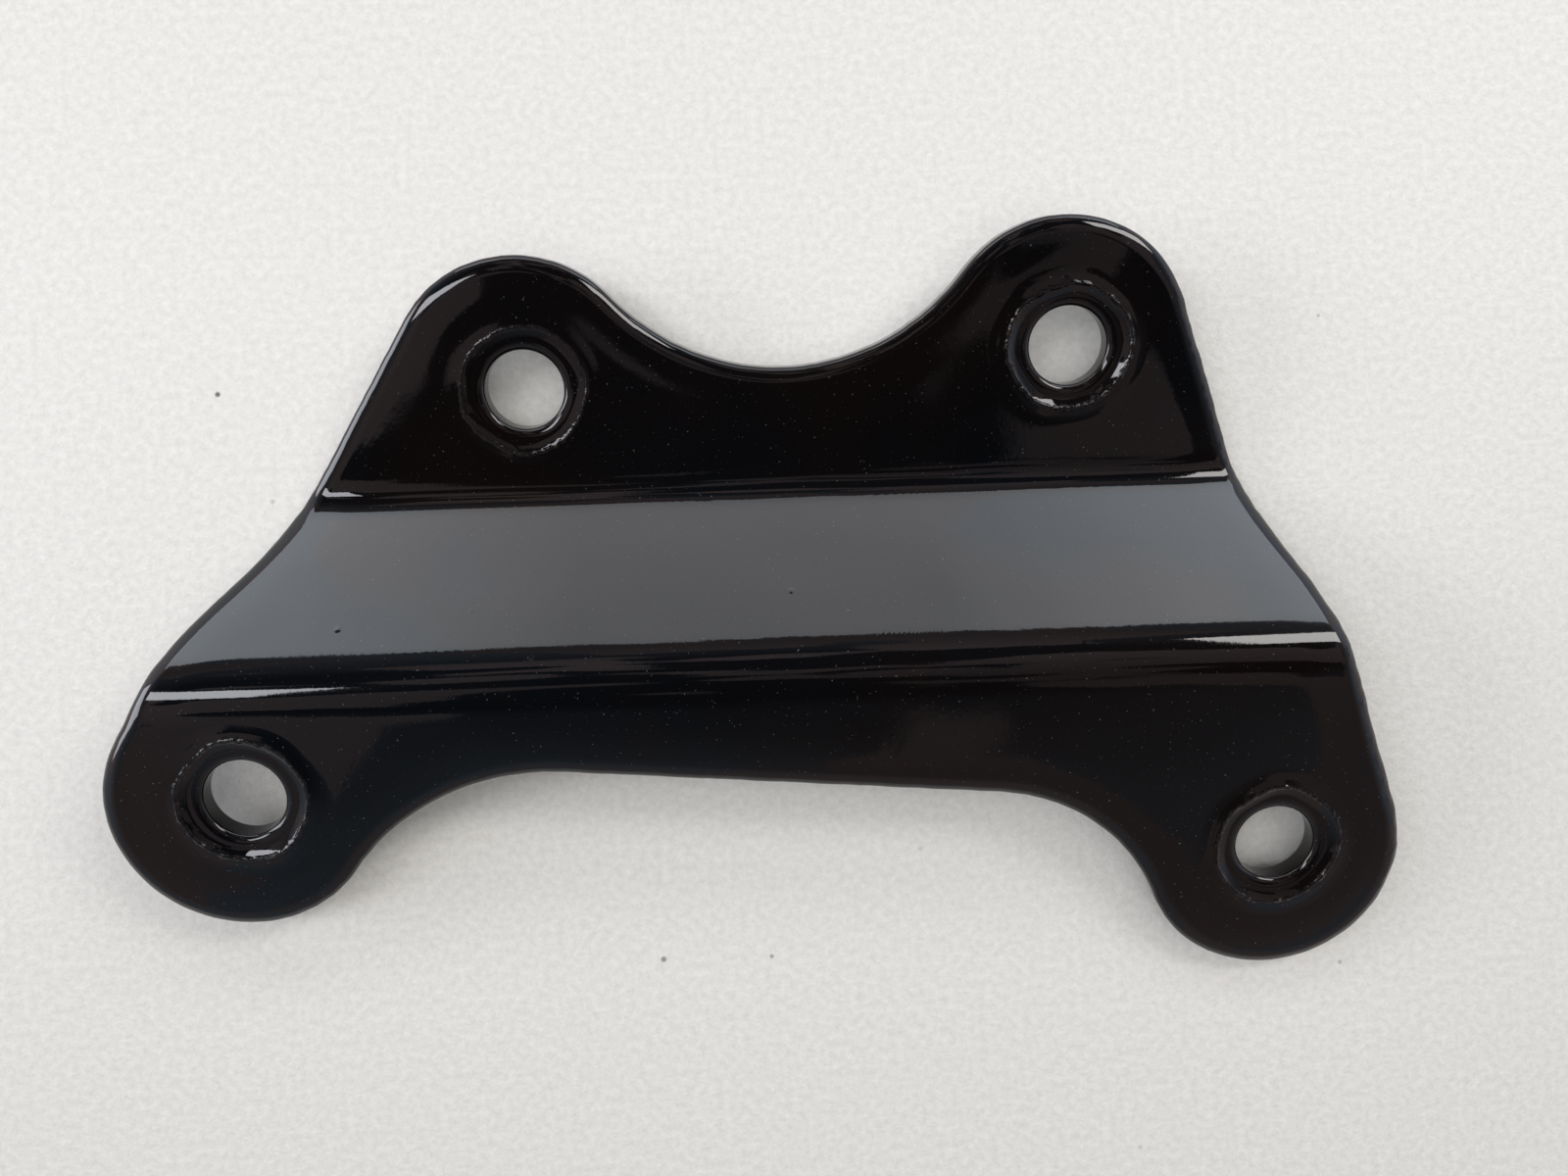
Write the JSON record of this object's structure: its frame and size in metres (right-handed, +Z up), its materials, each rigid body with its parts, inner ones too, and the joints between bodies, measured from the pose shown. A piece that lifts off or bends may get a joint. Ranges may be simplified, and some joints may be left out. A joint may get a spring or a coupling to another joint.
{
  "type": "engine hanger plate",
  "caption": "Thick black-coated steel plate folded into a step, with bolt holes in its upper eyes and in its two legs, for hanging an engine in a frame.",
  "frame": {"origin": "middle of the bounding box at the height of the surface that the plate lies on", "axes": "+X along the folds, towards the longer leg; +Y from the legs towards the upper eyes; +Z up from the surface that the plate lies on"},
  "size_m": [0.179, 0.1074, 0.0171],
  "materials": {
    "gloss_black_coat": "thick gloss black powder coat over a used steel plate, with small dust nibs and ragged lips round the bolt seats"
  },
  "bodies": {
    "root": {"hanger_plate": "gloss_black_coat"}
  },
  "joints": []
}
